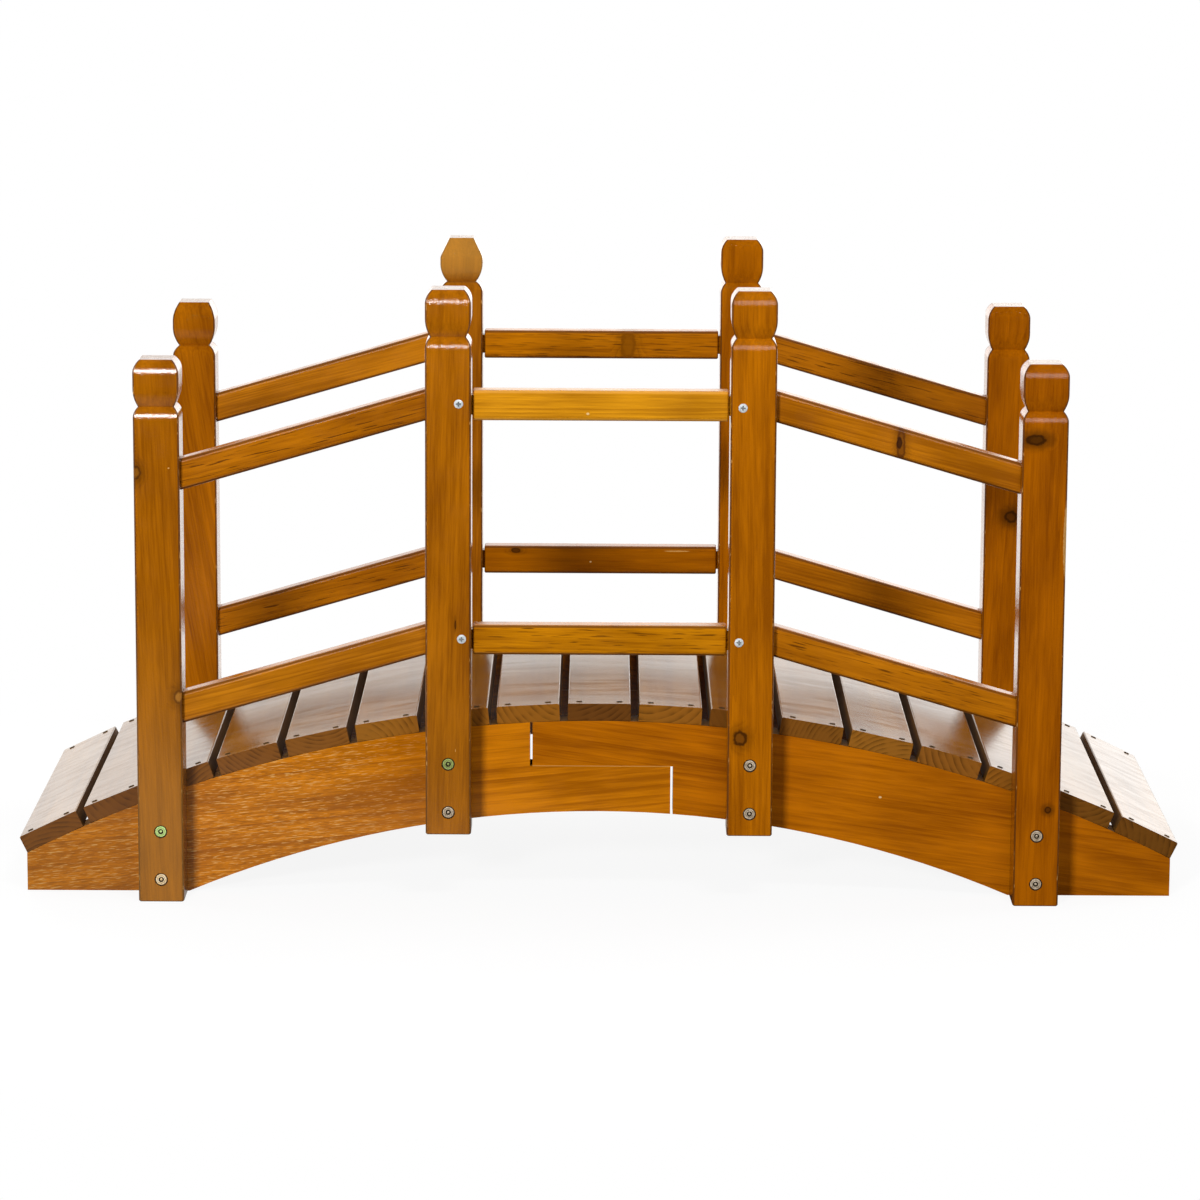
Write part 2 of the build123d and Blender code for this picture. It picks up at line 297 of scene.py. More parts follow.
# %% Growth rings
GRAIN_STRETCH = 22.0
BEND_WIDTH_MM = 28.0
FADE_MM, FADE_LEAST = 18.0, 0.15
FADE_FROM, FADE_TO = 0.38, 0.62
WAVE_TURN_SHARE = math.tau / 20
LATE_WOOD_POWER = 2.2


def drawn_out(tree, grain, width_mm, stretch, detail):
    """A noise of a given width, drawn out along Z by a factor."""
    along = add_node(tree, "ShaderNodeVectorMath", {
        0: grain, 1: (1.0, 1.0, 1 / stretch)}, operation="MULTIPLY").outputs[0]
    return add_node(tree, "ShaderNodeTexNoise", {
        "Vector": along, "Scale": 1 / (width_mm * MM), "Detail": detail}).outputs[0]


def growth_rings(tree, grain, ring_mm, bend_mm, push):
    """The share of late wood: a saw wave of the bent distance from the pith, raised to a power, times a
    fading."""
    along = add_node(tree, "ShaderNodeVectorMath", {
        0: grain, 1: (1.0, 1.0, 1 / GRAIN_STRETCH)}, operation="MULTIPLY").outputs[0]
    bend = add_node(tree, "ShaderNodeTexNoise", {
        "Vector": along, "Scale": 1 / (BEND_WIDTH_MM * MM), "Detail": 2.0}).outputs["Color"]
    bent = add_node(tree, "ShaderNodeVectorMath", {
        0: bend, 1: (bend_mm * MM, bend_mm * MM, 0.0), 2: along}, operation="MULTIPLY_ADD").outputs[0]
    wave = add_node(tree, "ShaderNodeTexWave", {
        "Vector": bent, "Scale": WAVE_TURN_SHARE / (ring_mm * MM), "Phase Offset": push},
        wave_type="RINGS", rings_direction="Z", wave_profile="SAW").outputs["Fac"]
    late = add_node(tree, "ShaderNodeMath", {0: wave, 1: LATE_WOOD_POWER}, operation="POWER").outputs[0]
    fade = add_node(tree, "ShaderNodeMapRange", {
        "Value": drawn_out(tree, grain, FADE_MM, GRAIN_STRETCH, 1.0), "From Min": FADE_FROM,
        "From Max": FADE_TO, "To Min": FADE_LEAST}).outputs[0]
    return add_node(tree, "ShaderNodeMath", {0: late, 1: fade}, operation="MULTIPLY").outputs[0]


print("a ring's phase goes round in", round(WAVE_TURN_SHARE, 3), "of the wave's own length")

# %% [markdown]
# Over the rings lies the stain. It sinks unevenly: in single fibres, in streaks and in broad clouds. Each
# is a noise drawn out along the grain, and their sum tells how deep the stain is at a point. Deep stain
# is a little redder than thin stain, so the two ends of the colour mix differ in hue as well as in
# brightness.

# %% Stain
STAIN_LAYERS = {
    "fibre": {"width_mm": 1.9, "stretch": 22.0, "detail": 3.0, "share": 1.15},
    "streak": {"width_mm": 7.0, "stretch": 30.0, "detail": 2.0, "share": 1.15},
    "cloud": {"width_mm": 48.0, "detail": 2.0, "share": 2.1},
}
THIN_STAIN, DEEP_STAIN = (1.28, 1.34, 1.40), (0.70, 0.65, 0.55)
EVEN_TONE = 0.5
LATE_WOOD_MEAN = 0.18


def stain_layers(tree, grain, cloud_stretch):
    """The noises of the stain, by name. Each mostly runs from 0.3 to 0.7."""
    layers = {}
    for name, layer in STAIN_LAYERS.items():
        stretch = layer.get("stretch", cloud_stretch)
        layers[name] = drawn_out(tree, grain, layer["width_mm"], stretch, layer["detail"])
    return layers


def stained(tree, stain, late, ring_share, layers):
    """The stained colour. Its depth is an even tone, plus each noise and the late wood less its mean, times
    a share."""
    shares = {name: layer["share"] for name, layer in STAIN_LAYERS.items()}
    tone = EVEN_TONE - ring_share * LATE_WOOD_MEAN - sum(shares.values()) / 2
    tone = add_node(tree, "ShaderNodeMath", {
        0: late, 1: ring_share, 2: tone}, operation="MULTIPLY_ADD").outputs[0]
    for name, share in shares.items():
        tone = add_node(tree, "ShaderNodeMath", {
            0: layers[name], 1: share, 2: tone}, operation="MULTIPLY_ADD").outputs[0]
    return add_node(tree, "ShaderNodeMix", {
        0: tone, COLOUR_A: linear(stain, THIN_STAIN), COLOUR_B: linear(stain, DEEP_STAIN)},
        data_type="RGBA").outputs[COLOUR_OUT]


print("stain layers:", ", ".join(STAIN_LAYERS))

# %% [markdown]
# A knot is where a branch grew through. It is dark round its rim and paler in its heart, the wood about
# it is stained darker, and the rings flow round it. Its distance field does all of that: the distance
# from its centre, counted in its own radii and roughened by a noise, masks the halo, the heart and the
# rim, and pushes the phase of the rings. A nick in the varnish is drawn the same way, pale and with no
# halo.

# %% Knots
KNOT_ROUGH_MM, KNOT_ROUGH_SHARE = 6.0, 0.75
KNOT_PUSH, PUSH_FROM, PUSH_FULL = 12.0, 3.2, 0.6
HALO_FROM, HALO_FULL = 3.4, 0.8
HEART_FROM, HEART_FULL, HEART_SHARE = 1.4, 0.7, 0.85
RIM_AT, RIM_HALF, RIM_FULL, RIM_SHARE = 0.95, 0.4, 0.05, 0.8
KNOT_HALO = "#4d2803"


def laid_over(tree, colour, code, value, start, full, most=1.0, within=None, curve="LINEAR"):
    """A second colour over the first, up to a share, as a value goes from start to full. A mask may hold it
    within bounds."""
    share = add_node(tree, "ShaderNodeMapRange", {
        "Value": value, "From Min": start, "From Max": full, "To Max": most},
        interpolation_type=curve).outputs[0]
    if within is not None:
        share = add_node(tree, "ShaderNodeMath", {0: share, 1: within}, operation="MULTIPLY").outputs[0]
    return add_node(tree, "ShaderNodeMix", {
        0: share, COLOUR_A: colour, COLOUR_B: linear(code)}, data_type="RGBA").outputs[COLOUR_OUT]


def knot_distances(tree, place, knots):
    """For each knot, the length of the way from its centre, divided by its radii, plus a little noise."""
    rough = add_node(tree, "ShaderNodeTexNoise", {
        "Vector": place, "Scale": 1 / (KNOT_ROUGH_MM * MM)}).outputs[0]
    distances = []
    for knot in knots:
        way = add_node(tree, "ShaderNodeVectorMath", {
            0: place, 1: Vector(knot["at"]) * MM}, operation="SUBTRACT").outputs[0]
        way = add_node(tree, "ShaderNodeVectorMath", {
            0: way, 1: Vector(knot["radii"]) * MM}, operation="DIVIDE").outputs[0]
        way = add_node(tree, "ShaderNodeVectorMath", {0: way}, operation="LENGTH").outputs["Value"]
        way = add_node(tree, "ShaderNodeMath", {
            0: rough, 1: KNOT_ROUGH_SHARE, 2: way}, operation="MULTIPLY_ADD").outputs[0]
        distances.append(add_node(tree, "ShaderNodeMath", {
            0: way, 1: KNOT_ROUGH_SHARE / 2}, operation="SUBTRACT").outputs[0])
    return distances


def ring_push(tree, distances):
    """How far the phase of the rings is pushed aside: it grows as each knot comes near."""
    push = 0.0
    for distance in distances:
        near = add_node(tree, "ShaderNodeMapRange", {
            "Value": distance, "From Min": PUSH_FROM, "From Max": PUSH_FULL, "To Max": KNOT_PUSH},
            interpolation_type="SMOOTHSTEP").outputs[0]
        push = add_node(tree, "ShaderNodeMath", {0: near, 1: push}, operation="ADD").outputs[0]
    return push


def with_knots(tree, colour, knots, distances):
    """Lays a soft halo, a heart and a rim over the colour for each knot."""
    for knot, distance in zip(knots, distances):
        off_rim = add_node(tree, "ShaderNodeMath", {0: distance, 1: RIM_AT}, operation="SUBTRACT").outputs[0]
        off_rim = add_node(tree, "ShaderNodeMath", {0: off_rim}, operation="ABSOLUTE").outputs[0]
        bands = [
            (distance, HALO_FROM, HALO_FULL, knot["halo"], KNOT_HALO),
            (distance, HEART_FROM, HEART_FULL, HEART_SHARE, knot["heart"]),
            (off_rim, RIM_HALF, RIM_FULL, RIM_SHARE, knot["rim"]),
        ]
        for value, edge, full, share, code in bands:
            colour = laid_over(tree, colour, code, value, edge, full, share, curve="SMOOTHSTEP")
    return colour


print("rings are pushed by up to", KNOT_PUSH, "radians")

# %% [markdown]
# Cut across, the fibres drink far more stain, so sawn ends are the darkest wood of all, and the rings
# show best there. An end is wherever the surface faces along the grain. Faces that no cloth reaches once
# the bridge is together, as between two slats, are left dull, and painted dark as the shade that fills
# the gaps. They are found by the way that they face too.

# %% Sawn ends and hidden faces
END_FROM, END_FULL = 0.7, 0.97
END_EARLY_SHARE, END_LATE_SHARE = 1.12, 0.5
HIDDEN_FROM, HIDDEN_FULL = 0.7, 0.85


def cosine(tree, axis):
    """The size of the cosine between the surface's normal and an axis."""
    normal = add_node(tree, "ShaderNodeNewGeometry").outputs["Normal"]
    along = add_node(tree, "ShaderNodeVectorMath", {
        0: normal, 1: axis}, operation="DOT_PRODUCT").outputs["Value"]
    return add_node(tree, "ShaderNodeMath", {0: along}, operation="ABSOLUTE").outputs[0]


def with_sawn_ends(tree, colour, end, late, turn):
    """Mixes in the end's colour where the surface faces along the grain, darker in the late wood."""
    share = add_node(tree, "ShaderNodeMapRange", {
        "Value": cosine(tree, Euler(turn).to_matrix() @ Vector((0.0, 0.0, 1.0))),
        "From Min": END_FROM, "From Max": END_FULL}, interpolation_type="SMOOTHSTEP").outputs[0]
    sawn = add_node(tree, "ShaderNodeMix", {
        0: late, COLOUR_A: linear(end, END_EARLY_SHARE), COLOUR_B: linear(end, END_LATE_SHARE)},
        data_type="RGBA").outputs[COLOUR_OUT]
    return add_node(tree, "ShaderNodeMix", {
        0: share, COLOUR_A: colour, COLOUR_B: sawn}, data_type="RGBA").outputs[COLOUR_OUT]


def faces_along(axis):
    """A mask that is 1 where the surface faces along the axis, either way."""
    def mask(tree, place):
        """A smooth step of the cosine."""
        return add_node(tree, "ShaderNodeMapRange", {
            "Value": cosine(tree, axis), "From Min": HIDDEN_FROM, "From Max": HIDDEN_FULL},
            interpolation_type="SMOOTHSTEP").outputs[0]

    return mask


print("an end begins at", round(math.degrees(math.acos(END_FROM))), "degrees from the grain")

# %% [markdown]
# The whole recipe, in the order of the workshop: grow the rings, stain the wood, add what marks this
# piece, and varnish it. The varnish is one clear glossy coat, a little duller where hands have smudged
# it. Fibres and fine grit stand up through it and break its highlights, drawn coarser than they are so
# that they show. Marks are functions too, so that each kind of piece can bring its own.

# %% Varnished fir
VARNISH_IOR = 1.5
SMUDGE_MM, SMUDGE_FROM, SMUDGE_TO = 27.0, 0.35, 0.65
GRIT_MM, GRIT_SHARE = 2.4, 1.0
DULL_ROUGHNESS = 0.8
FIR_END = "#7d4c17"


def varnished_fir(name, stain, pith, turn, ring_mm, ring_share, end=FIR_END, marks=(), knots=(),
                  gloss=(0.1, 0.2), relief_mm=0.05, bend_mm=20.0, cloud_stretch=3.5, smudge=(1.0, 1.0, 1.0),
                  dull=None, pooled="#000000"):
    """Stained and varnished fir. The pith is a point on the line that the rings circle, and turn leads Z
    onto the grain. Gloss gives the least and the greatest roughness, in smudges squeezed by a factor along
    each axis. Where the mask dull is 1, the wood is unpolished and takes a flat painted colour instead:
    painted shade in gaps and along corners, and on one rail a painted highlight along its corners."""
    material = bpy.data.materials.new(name)
    tree = blank_tree(material)
    place = add_node(tree, "ShaderNodeTexCoord").outputs["Object"]
    grain = add_node(tree, "ShaderNodeMapping", {
        "Vector": place, "Location": pith, "Rotation": turn}, vector_type="TEXTURE").outputs[0]
    distances = knot_distances(tree, place, knots)
    late = growth_rings(tree, grain, ring_mm, bend_mm, ring_push(tree, distances))
    layers = stain_layers(tree, grain, cloud_stretch)
    colour = stained(tree, stain, late, ring_share, layers)
    smudges = add_node(tree, "ShaderNodeVectorMath", {0: place, 1: smudge}, operation="MULTIPLY").outputs[0]
    smudges = add_node(tree, "ShaderNodeTexNoise", {
        "Vector": smudges, "Scale": 1 / (SMUDGE_MM * MM)}).outputs[0]
    rough = add_node(tree, "ShaderNodeMapRange", {
        "Value": smudges, "From Min": SMUDGE_FROM, "From Max": SMUDGE_TO,
        "To Min": gloss[0], "To Max": gloss[1]}).outputs[0]
    if dull:
        share = dull(tree, place)
        colour = add_node(tree, "ShaderNodeMix", {
            0: share, COLOUR_A: colour, COLOUR_B: linear(pooled)}, data_type="RGBA").outputs[COLOUR_OUT]
        rough = add_node(tree, "ShaderNodeMix", {0: share, 2: rough, 3: DULL_ROUGHNESS}).outputs[0]
    for mark in marks:
        colour = mark(tree, place, grain, colour)
    colour = with_sawn_ends(tree, colour, end, late, turn)
    colour = with_knots(tree, colour, knots, distances)
    grit = add_node(tree, "ShaderNodeTexNoise", {"Vector": place, "Scale": 1 / (GRIT_MM * MM)}).outputs[0]
    height = add_node(tree, "ShaderNodeMath", {
        0: grit, 1: GRIT_SHARE, 2: layers["fibre"]}, operation="MULTIPLY_ADD").outputs[0]
    relief = add_node(tree, "ShaderNodeBump", {
        "Height": height, "Strength": 1.0, "Distance": relief_mm * MM}).outputs[0]
    coat = add_node(tree, "ShaderNodeBsdfPrincipled", {
        "Base Color": colour, "Roughness": rough, "IOR": VARNISH_IOR, "Normal": relief}).outputs[0]
    add_node(tree, "ShaderNodeOutputMaterial", {"Surface": coat})
    return material


def dress(node, material):
    """Gives a wooden piece of the frame its own wood."""
    nodes[node].data.materials.clear()
    nodes[node].data.materials.append(material)


SEED = 11
chance = np.random.default_rng(SEED)
print("varnish IOR", VARNISH_IOR)

# %% [markdown]
# ## Posts
# Eight square posts of clear narrow stock. The stain differs a little from post to post, and so does
# where each was cut from the log: the angle to the pith is drawn by chance, and with it whether a face
# shows close lines or broad flames. A knob here and a foot there are paler, by a smooth step of colour
# along the height. A dark line of painted shade runs along the corners, and here and there the coat has
# chipped off them down to bare wood. The knots and nicks are those of this bridge.

# %% Colour steps along an axis
def toned_along(axis, start_mm, full_mm, code, most):
    """A mark: a second colour comes in by a smooth step along one axis, up to a share."""
    def mark(tree, place, grain, colour):
        """Lays the second colour over the first."""
        at = add_node(tree, "ShaderNodeSeparateXYZ", {0: place}).outputs[axis]
        return laid_over(tree, colour, code, at, start_mm * MM, full_mm * MM, most, curve="SMOOTHSTEP")

    return mark


print("stain fades by a smooth step")

# %% Post corners
# Painted shade: a dark line is painted along each post's corners, as far out as the first value below.
CORNER_MM, CORNER_FULL_MM, CORNER_SHADE_SHARE = 2.6, 1.2, 0.75
CHIP_MM, CHIP_STRETCH, CHIP_DETAIL = 2.4, 5.0, 2.0
CHIP_FROM, CHIP_TO, CHIP_SHARE = 0.63, 0.71, 0.8
LEVEL_FROM, LEVEL_FULL = 0.9, 0.98
BARE_FIR = "#d9a862"


def near_corner(tree, place, middle, most):
    """How near a point is to a corner of a square post, knob and all. The distances from the post's axis,
    along X and along Y, are alike on a corner, so it is a step of their difference. Level faces are left
    out."""
    away = add_node(tree, "ShaderNodeVectorMath", {0: place, 1: middle}, operation="SUBTRACT").outputs[0]
    away = add_node(tree, "ShaderNodeVectorMath", {0: away}, operation="ABSOLUTE").outputs[0]
    away = add_node(tree, "ShaderNodeSeparateXYZ", {0: away}).outputs
    off = add_node(tree, "ShaderNodeMath", {0: away["X"], 1: away["Y"]}, operation="SUBTRACT").outputs[0]
    off = add_node(tree, "ShaderNodeMath", {0: off}, operation="ABSOLUTE").outputs[0]
    near = add_node(tree, "ShaderNodeMapRange", {
        "Value": off, "From Min": CORNER_MM * MM, "From Max": CORNER_FULL_MM * MM, "To Max": most},
        interpolation_type="SMOOTHSTEP").outputs[0]
    upright = add_node(tree, "ShaderNodeMapRange", {
        "Value": cosine(tree, (0.0, 0.0, 1.0)), "From Min": LEVEL_FULL, "From Max": LEVEL_FROM}).outputs[0]
    return add_node(tree, "ShaderNodeMath", {0: near, 1: upright}, operation="MULTIPLY").outputs[0]


def post_corner_shade(middle):
    """A mask of the painted shade along a post's corners."""
    def mask(tree, place):
        """A share of the nearness."""
        return near_corner(tree, place, middle, CORNER_SHADE_SHARE)

    return mask


def chipped_corners(middle):
    """A mark for a post: bare wood at the peaks of a noise that is drawn out along the corners."""
    def mark(tree, place, grain, colour):
        """Lays bare wood over the colour."""
        peak = drawn_out(tree, place, CHIP_MM, CHIP_STRETCH, CHIP_DETAIL)
        return laid_over(tree, colour, BARE_FIR, peak, CHIP_FROM, CHIP_TO,
                         within=near_corner(tree, place, middle, CHIP_SHARE))

    return mark


# The dark line along the corners is painted shade.
print("pooled stain reaches", CORNER_MM, "mm from a corner")

# %% Posts
# The back posts' codes are lifted to about the front posts' level, though their wood shows darker: painted
# light that makes up for the shade the front of the bridge casts on them.
POST_STAINS = {
    "front_left_end_post": "#985603", "front_left_crown_post": "#9f5b04",
    "front_right_crown_post": "#a75e02", "front_right_end_post": "#9c5300",
    "back_left_end_post": "#a25b03", "back_left_crown_post": "#9c5a08",
    "back_right_crown_post": "#a05800", "back_right_end_post": "#9d5500",
}
POST_RING_SHARE, POST_RELIEF_MM = 0.3, 0.2
POST_PITH_MM, POST_RING_MM, POST_LEAN_DEGREES = (80, 170), (5.0, 8.0), 2.2
POST_GLOSS = (0.09, 0.15)
# The colour of the painted shade along the posts' corners.
POST_CORNER_SHADE = "#4b2803"
DARK_RIM = "#331803"
NICK = {"heart": "#e3c48c", "rim": "#e3c48c", "halo": 0.0}
FAINT_NICK = {"heart": "#c69552", "rim": "#c69552", "halo": 0.0}
POST_KNOTS = {
    "front_left_end_post": [
        {"at": (-605, -325, 575), "radii": (6, 20, 8), "heart": "#8a5514", "rim": "#4a2606", "halo": 0.5},
        {"at": (-552, -325, 277), "radii": (6, 20, 8), "heart": "#a8702a", "rim": "#5b3007", "halo": 0.4},
        {"at": (-562, -325, 581), "radii": (1.0, 8, 0.8), **FAINT_NICK},
    ],
    "front_left_crown_post": [
        {"at": (-189, -325, 375), "radii": (0.9, 15, 5), "heart": "#4a2606", "rim": DARK_RIM, "halo": 0.4},
        {"at": (-189, -325, 207), "radii": (0.5, 8, 1.8), **FAINT_NICK},
    ],
    "front_right_crown_post": [
        {"at": (185, -325, 225), "radii": (8, 25, 8.5), "heart": "#70400d", "rim": DARK_RIM, "halo": 0.45},
    ],
    "front_right_end_post": [
        {"at": (565, -325, 624), "radii": (11, 25, 6), "heart": "#4a2806", "rim": DARK_RIM, "halo": 0.8},
        {"at": (592, -325, 131), "radii": (4, 20, 4), "heart": "#542b06", "rim": DARK_RIM, "halo": 0.6},
        {"at": (607, -325, 492), "radii": (2.6, 6, 40), **FAINT_NICK},
    ],
    "back_right_end_post": [
        {"at": (586, 265, 421), "radii": (8, 25, 7), "heart": "#5b3007", "rim": DARK_RIM, "halo": 0.75},
    ],
}
# A paler step up the feet of the two front left posts, and on the knob of the back left crown post.
POST_TONE_STEPS = {
    "front_left_end_post": [toned_along("Z", 450, 60, "#b98a3a", 0.22)],
    "front_left_crown_post": [toned_along("Z", 450, 150, "#b98a3a", 0.08)],
    "back_left_crown_post": [toned_along("Z", 748, 775, "#d09a45", 0.45)],
}
POST_LEANS = {"back_left_end_post": math.radians(-9)}
for name, stain in POST_STAINS.items():
    low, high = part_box(name)
    middle = (low + high) / 2
    angle, away = chance.uniform(0, math.tau), chance.uniform(*POST_PITH_MM) * MM
    pith = middle + Vector((math.cos(angle), math.sin(angle), 0.0)) * away
    lean = np.radians(chance.uniform(-POST_LEAN_DEGREES, POST_LEAN_DEGREES, 2))
    turn = (lean[0], POST_LEANS.get(name, lean[1]), 0.0)
    ring_mm = chance.uniform(*POST_RING_MM)
    dress(name, varnished_fir(
        "varnished fir " + name, stain, pith, turn, ring_mm, POST_RING_SHARE,
        marks=[*POST_TONE_STEPS.get(name, []), chipped_corners(middle)], knots=POST_KNOTS.get(name, []),
        relief_mm=POST_RELIEF_MM, gloss=POST_GLOSS, dull=post_corner_shade(middle), pooled=POST_CORNER_SHADE))
print("posts dressed:", len(POST_STAINS))

# %% [markdown]
# ## Rails
# The outer rails climb from the end posts to the crown posts, and their grain climbs with them. The slope
# is read from the frame: it is the rise between the feet of the two posts over the way between them. Some
# rails have dark dashes along the grain, where pitch has soaked the wood: the peaks of a noise drawn out
# along it.

# %% Pitch dashes
DASH_MM, DASH_STRETCH = 1.8, 22.0
DASH_FROM, DASH_TO, DASH_SHARE = 0.62, 0.69, 0.75
PITCH = "#4b2405"


def pitch_dashes(tree, place, grain, colour):
    """Darkens the colour at the highest peaks of a noise drawn out along the grain."""
    peak = drawn_out(tree, grain, DASH_MM, DASH_STRETCH, 1.0)
    return laid_over(tree, colour, PITCH, peak, DASH_FROM, DASH_TO, DASH_SHARE)


print("pitch dashes about", DASH_MM * DASH_STRETCH, "mm long")

# %% Rail corners
ROUND_FROM, ROUND_FULL, ROUND_SHADE_SHARE = 0.2, 0.6, 0.75


def rail_corner_shade(slope):
    """A mask of the painted shade along a rail's eased corners: a step of the lesser of two cosines, with Y
    and with the rail's own upward axis, which are both large only where the surface turns from one to the
    other."""
    def mask(tree, place):
        """A share of the step."""
        least = add_node(tree, "ShaderNodeMath", {
            0: cosine(tree, (0.0, 1.0, 0.0)), 1: cosine(tree, (-math.sin(slope), 0.0, math.cos(slope)))},
            operation="MINIMUM").outputs[0]
        return add_node(tree, "ShaderNodeMapRange", {
            "Value": least, "From Min": ROUND_FROM, "From Max": ROUND_FULL, "To Max": ROUND_SHADE_SHARE},
            interpolation_type="SMOOTHSTEP").outputs[0]

    return mask


print("corners turn from", round(math.degrees(math.asin(ROUND_FROM))), "degrees")

# %% Rails
RAIL_STAIN = "#a86206"
# The back middle top rail's code is lifted above its wood's colour: painted light that makes up for the
# shade the front of the bridge casts on it.
RAIL_STAINS = {
    "front_middle_top_rail": "#c98511", "front_middle_low_rail": "#b57004",
    "back_middle_top_rail": "#b56b02", "back_middle_low_rail": "#935100",
    "front_left_top_rail": "#a66004", "back_right_top_rail": "#a05c06",
    "front_left_low_rail": "#b06a0c", "back_left_top_rail": "#b06a0c",
    "front_right_low_rail": "#ae6606",
}
RAIL_RING_SHARE = 0.6
RAIL_PITH_MM, RAIL_RING_MM, RAIL_LEAN_DEGREES = (50, 120), (4.0, 6.5), 1.0
RAIL_GLOSS = (0.14, 0.24)
# The rails' corners are painted dark as shade, in this colour.
RAIL_CORNER_SHADE = "#5a3003"
# The front middle top rail's corners are painted pale instead: a painted highlight along its eased edges.
RAIL_CORNER_HIGHLIGHTS = {"front_middle_top_rail": "#dc9d3c"}
PITCHED_RAILS = ("front_left_top_rail", "front_middle_low_rail", "back_middle_top_rail",
                 "back_right_top_rail", "front_right_low_rail", "back_left_low_rail")
RAIL_KNOTS = {
    "front_right_top_rail": [
        {"at": (391, -310, 614), "radii": (5, 25, 20), "heart": "#7d4609", "rim": "#5a2d08", "halo": 0.4},
        {"at": (389, -310, 617), "radii": (3, 25, 7), "heart": "#34190a", "rim": "#34190a", "halo": 0.1},
    ],
    "front_middle_top_rail": [
        {"at": (-17, -310, 653), "radii": (1.6, 8, 1.2), **NICK},
    ],
    "back_middle_top_rail": [
        {"at": (38, 280, 663), "radii": (9, 25, 20), "heart": "#8a5003", "rim": "#7d4602", "halo": 0.3},
    ],
    "back_middle_low_rail": [
        {"at": (-121, 280, 366), "radii": (6, 20, 3), "heart": "#4a2606", "rim": DARK_RIM, "halo": 0.35},
        {"at": (-14, 280, 350), "radii": (1.2, 8, 1.0), **NICK},
        {"at": (110, 280, 366), "radii": (16, 8, 0.8), **FAINT_NICK},
    ],
}
end_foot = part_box("front_left_end_post")[0]
crown_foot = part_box("front_left_crown_post")[0]
RAIL_SLOPE = math.atan2(crown_foot.z - end_foot.z, crown_foot.x - end_foot.x)
SLOPES = {"left": RAIL_SLOPE, "middle": 0.0, "right": -RAIL_SLOPE}
rail_names = [name for name in nodes if name.endswith("_rail")]
for name in rail_names:
    low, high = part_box(name)
    bay = name.split("_")[1]
    slope = SLOPES[bay] + math.radians(chance.uniform(-RAIL_LEAN_DEGREES, RAIL_LEAN_DEGREES))
    angle, away = chance.uniform(0, math.tau), chance.uniform(*RAIL_PITH_MM) * MM
    pith = (low + high) / 2 + Vector((0.0, math.cos(angle), math.sin(angle))) * away
    dress(name, varnished_fir(
        "varnished fir " + name, RAIL_STAINS.get(name, RAIL_STAIN), pith, (0.0, math.pi / 2 - slope, 0.0),
        chance.uniform(*RAIL_RING_MM), RAIL_RING_SHARE,
        marks=[pitch_dashes] if name in PITCHED_RAILS else [], knots=RAIL_KNOTS.get(name, []),
        gloss=RAIL_GLOSS, dull=rail_corner_shade(SLOPES[bay]), pooled=RAIL_CORNER_HIGHLIGHTS.get(name, RAIL_CORNER_SHADE)))
print("rails dressed:", len(rail_names), "slope", round(math.degrees(RAIL_SLOPE), 1), "degrees")

# %% [markdown]
# ## Beams
# Each arch is sawn from two wide boards. The left-hand ones were left rough from the saw towards the
# foot. There the grain stands open: short pale dashes, where torn fibres have taken no stain, lie between
# dark ones, where it has pooled. The right-hand ones were planed. Where the two halves lap, the edge of
# the joint has rubbed pale.

# %% Marks of the beams
FLECK_MM, FLECK_STRETCH = 1.0, 13.0
PALE_FROM, PALE_TO, PALE_SHARE = 0.60, 0.68, 0.7
DARK_FROM, DARK_TO, DARK_SHARE = 0.44, 0.35, 0.6
FLECK_FROM_X, FLECK_FULL_X = -0.13, -0.42
FLECK_BARE, FLECK_POOLED = "#e0b066", "#804704"
LAP_LEVEL_MM, SEAM_MM, SEAM_SHARE = 173.5, 0.9, 0.8
RUBBED = "#cf9a50"
lap_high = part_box("front_left_beam")[1]
lap_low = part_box("front_right_beam")[0]


def torn_fibres(tree, place, grain, colour):
    """Dashes of a noise drawn out along the grain, pale at its peaks and dark in its troughs, and more of
    them the further left."""
    peak = drawn_out(tree, grain, FLECK_MM, FLECK_STRETCH, 1.0)
    left = add_node(tree, "ShaderNodeSeparateXYZ", {0: place}).outputs["X"]
    torn = add_node(tree, "ShaderNodeMapRange", {
        "Value": left, "From Min": FLECK_FROM_X, "From Max": FLECK_FULL_X},
        interpolation_type="SMOOTHSTEP").outputs[0]
    for start, full, most, code in ((DARK_FROM, DARK_TO, DARK_SHARE, FLECK_POOLED),
                                    (PALE_FROM, PALE_TO, PALE_SHARE, FLECK_BARE)):
        colour = laid_over(tree, colour, code, peak, start, full, most, within=torn)
    return colour


def lap_seam(tree, place, grain, colour):
    """A pale line wherever the height is within a line's width of the lap, between its two ends."""
    at = add_node(tree, "ShaderNodeSeparateXYZ", {0: place}).outputs
    off = add_node(tree, "ShaderNodeMath", {
        0: at["Z"], 1: LAP_LEVEL_MM * MM}, operation="SUBTRACT").outputs[0]
    off = add_node(tree, "ShaderNodeMath", {0: off}, operation="ABSOLUTE").outputs[0]
    inside = add_node(tree, "ShaderNodeMath", {
        0: at["X"], 1: (lap_low.x + lap_high.x) / 2, 2: (lap_high.x - lap_low.x) / 2},
        operation="COMPARE").outputs[0]
    return laid_over(tree, colour, RUBBED, off, SEAM_MM * MM, 0.0, SEAM_SHARE, within=inside)


print("the lap runs from", round(lap_low.x / MM), "to", round(lap_high.x / MM), "mm")
